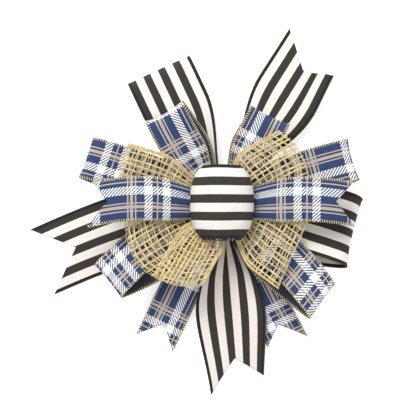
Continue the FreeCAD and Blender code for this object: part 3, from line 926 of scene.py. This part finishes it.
wool_felt = Finish("wool_felt", Roughness=0.95)
felt_place = wool_felt.object_place()
felt_matt = wool_felt.noise(felt_place, 420, 5.0, 0.7)
felt_hair = wool_felt.noise(wool_felt.stretched(felt_place, 900, 2400), 1.0, 3.0, 0.6)
wool_felt.paint("Base Color", wool_felt.blend(
    felt_matt * 0.6 + felt_hair * 0.4, srgb(212, 206, 192), srgb(248, 245, 236)))
wool_felt.bump(felt_matt + felt_hair * 0.6, 0.35 * MM)


def felt_disc(a, b):
    low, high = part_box("felt_back_pad")
    turn = b * 2 * math.pi
    share, height = pill(a, low[2], high[2], bulge=5.0)
    rim = 1 + 0.004 * np.cos(turn * 5 + 1) + 0.003 * np.cos(turn * 17)
    return round_axis(turn, high[0] * 0.995 * share * rim, height)


felt = closed_form("felt_back_pad_disc", (36, 120), felt_disc, wool_felt.material)
settle(felt, "hub", "felt_back_pad")

# ---- Padded centre --------------------------------------------------------------------
# Wadding on a grey-board plate, with a length of the striped ribbon pulled over it from side
# to side. Its ends are gathered and tucked under, and hot glue holds the whole on the bow.

cured_glue = Finish("cured_glue", Roughness=0.28)
glue_cloud = cured_glue.noise(cured_glue.object_place(), 300, 3.0)
cured_glue.paint("Base Color", cured_glue.blend(glue_cloud, srgb(222, 218, 200), srgb(246, 244, 232)))
cured_glue.bump(glue_cloud, 0.4 * MM)


def glue_blob(a, b):
    low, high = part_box("glue_pad")
    turn = b * 2 * math.pi
    share, height = pill(a, low[2], high[2], bulge=2.4)
    uneven = 1 + 0.06 * np.cos(3 * turn + 0.6) + 0.04 * np.cos(7 * turn)
    return round_axis(turn, high[0] * 0.9 * share * uneven, height)


glue = closed_form("glue_pad_blob", (24, 90), glue_blob, cured_glue.material)
settle(glue, "hub", "glue_pad")

board = Finish("grey_board", Roughness=0.88)
pulp = board.noise(board.object_place(), 1400, 4.0, 0.7)
ply = board.noise(board.stretched(board.object_place(), 60, 60, 3000), 1.0, 2.0)
board.paint("Base Color", board.blend(pulp * 0.6 + ply * 0.4, srgb(150, 138, 118), srgb(196, 184, 162)))
board.bump(pulp, 0.12 * MM)
for node_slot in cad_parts["dome_backing_plate"].material_slots:
    node_slot.material = board.material

wrap_low, wrap_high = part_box("dome_ribbon_wrap")
plate_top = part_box("padded_dome")[0][2]
wrap_length = 105 * MM


def dome_outline(spot):
    """Half the dome's width at a distance up from its middle."""
    return 27.6 * MM * (1 - (np.abs(spot) / (36 * MM)) ** 2.5) ** 0.4


def dome_crown(spot):
    """The dome's height over its plate at a distance up from its middle."""
    return (wrap_high[2] - plate_top) * (1 - (np.abs(spot) / (38 * MM)) ** 3.2) ** (1 / 3.2)


def wrap_place(a, b):
    """Over the dome from left to right, and from its bottom to its top, creased at its sides."""
    turn, roundness = (a - 0.5) * math.radians(228), 0.8
    spot = (b - 0.5) * 63.8 * MM
    out_x, out_z = np.sin(turn), np.cos(turn)
    side = np.sign(out_x) * np.abs(out_x) ** roundness
    rise = np.sign(out_z) * np.abs(out_z) ** roundness
    height = np.where(rise > 0, dome_crown(spot), plate_top - wrap_low[2] - 0.3 * MM) * rise
    pull = smooth(np.abs(a - 0.5) * 2.4 - 0.35)
    crease = 0.30 * np.sin(spot * 820 + 0.6) + 0.22 * np.sin(spot * 1430 + a * 3)
    crease = crease * pull + 0.10 * np.sin(a * 31 + spot * 30) * (1 - pull)
    crease = crease * 0.6 * MM
    tuck = 1 - 0.12 * smooth((np.abs(a - 0.5) - 0.40) / 0.10)
    y = spot * tuck + 0.25 * MM * np.sin(a * 17) * (b - 0.5) * 2
    return np.stack([dome_outline(spot) * side + out_x * crease, y,
                     plate_top + height + out_z * crease - 0.4 * MM], axis=-1)


def wrap_uv(a, b):
    """Metres along the wrap, and across it from its top edge to its bottom one's black stripe."""
    return a * wrap_length, np.minimum((1 - b) * 1.03, 0.998) * STRIPED_WIDTH


# The wrap is the same striped canvas given darker cream: painted shade on the dome.
shaded_dome_canvas = striped_canvas("shaded_dome_canvas", srgb(226, 223, 216), srgb(247, 245, 239))
wrap = smooth_piece("dome_wrap_cloth", strip_mesh(
    "dome_wrap_cloth", (110, 72), wrap_place, wrap_uv), shaded_dome_canvas)
thicken(wrap)

edge_cords = []
wrap_steps = np.linspace(0.02, 0.98, 140)
for side in (0.0, 1.0):
    line = wrap_place(wrap_steps, np.full_like(wrap_steps, side))
    ahead = np.gradient(line, axis=0)
    ahead /= np.linalg.norm(ahead, axis=1)[:, None]
    beside = np.tile([0.0, 1.0, 0.0], (len(line), 1))
    edge_cords.append((line, beside * 0.55 * MM, np.cross(ahead, beside) * 0.55 * MM))
wrap_edge = thread_piece("dome_wrap_selvedge", edge_cords, selvedge)
settle(wrap_edge, "hub", None)

draw = np.random.default_rng(5)
fray = []
for _ in range(26):
    at = draw.uniform(0.32, 0.68)
    foot = wrap_place(np.array([at]), np.array([draw.uniform(0.0, 0.03)]))[0]
    reach = np.array([draw.uniform(-0.7, 0.7), -draw.uniform(0.3, 1.3), draw.uniform(0.1, 0.9)]) * MM
    bend = np.array([draw.uniform(-0.4, 0.4), -0.4, 0.5]) * MM
    line = np.stack([foot, foot + reach * 0.5 + bend, foot + reach + bend * 0.5])
    flat_width = np.tile([0.09 * MM, 0, 0], (3, 1))
    fray.append((line, flat_width, np.tile([0, 0.06 * MM, 0.09 * MM], (3, 1))))
lint = Finish("frayed_thread", Roughness=0.8)
lint_tone = lint.noise(lint.object_place(), 1800)
lint.paint("Base Color", lint.blend(lint_tone, srgb(214, 208, 196), srgb(252, 250, 244)))
fray_piece = thread_piece("dome_wrap_frayed_ends", fray, lint.material, sides=4)
settle(fray_piece, "hub", None)

settle(wrap, "hub", "dome_ribbon_wrap")


def tucked_end(side, turn):
    """The wrap's end at one side, gathered into folds under the plate."""
    name = f"dome_wrap_end_{side}_cloth"
    tuck = Ribbon([(0, 0), (0.005, 0), (0.009, 0), (0.0139, 0)], 26 * MM, turn, 0.0521, root=0.94,
                  opens=(0, 0.012), start=0.0128, pleats=9, depth=0.0, waves=0)

    def place(a, b):
        folds = 1.55 * MM * np.cos(b * 11 * math.pi)
        return tuck.point(a * tuck.length, b * 2 - 1) + folds[:, None] * [0.0, 0.0, 1.0]

    def uv(a, b):
        return a * tuck.length, b * STRIPED_WIDTH

    end = smooth_piece(name, strip_mesh(name, (14, 150), place, uv), canvas)
    thicken(end)
    settle(end, "hub", f"dome_wrap_end_{side}")


tucked_end("left", 180)
tucked_end("right", 0)


def wadding_place(a, b):
    """The padding: a from the middle of its flat back round to its crown, b once round."""
    turn, back, half_length = b * 2 * math.pi, 0.3, 30.6 * MM
    fullness = 0.8 - 0.42 * np.sin(turn) ** 2
    rise = (1 - np.clip((a - back) / (1 - back), 0, 1)) * math.pi / 2
    lump = 0.012 * np.sin(9 * turn + 14 * a) + 0.010 * np.sin(17 * turn - 23 * a + 1)
    lumpy = 1 + lump * (1 - a)
    share = 0.96 * np.where(a < back, a / back, np.abs(np.sin(rise)) ** fullness * lumpy)
    lift = np.where(a < back, 0, np.abs(np.cos(rise)) ** fullness * lumpy)
    half = (dome_outline(half_length * np.sin(turn)) - 1.6 * MM) * np.cos(turn) * share
    spot = (half_length + 0.8 * MM) * np.sin(turn) * share
    height = plate_top + 0.2 * MM + (dome_crown(spot) - 1.8 * MM) * lift
    return np.stack([half, spot, height], axis=-1)


wadding = Finish("wadding", Roughness=0.95)
tufts = wadding.noise(wadding.object_place(), 420, 6.0, 0.75)
wadding.paint("Base Color", wadding.blend(tufts, srgb(226, 226, 224), srgb(253, 253, 252)))
wadding.bump(tufts, 0.8 * MM)
padding = closed_form("padded_dome_wadding", (40, 96), wadding_place, wadding.material)
settle(padding, "hub", "padded_dome")
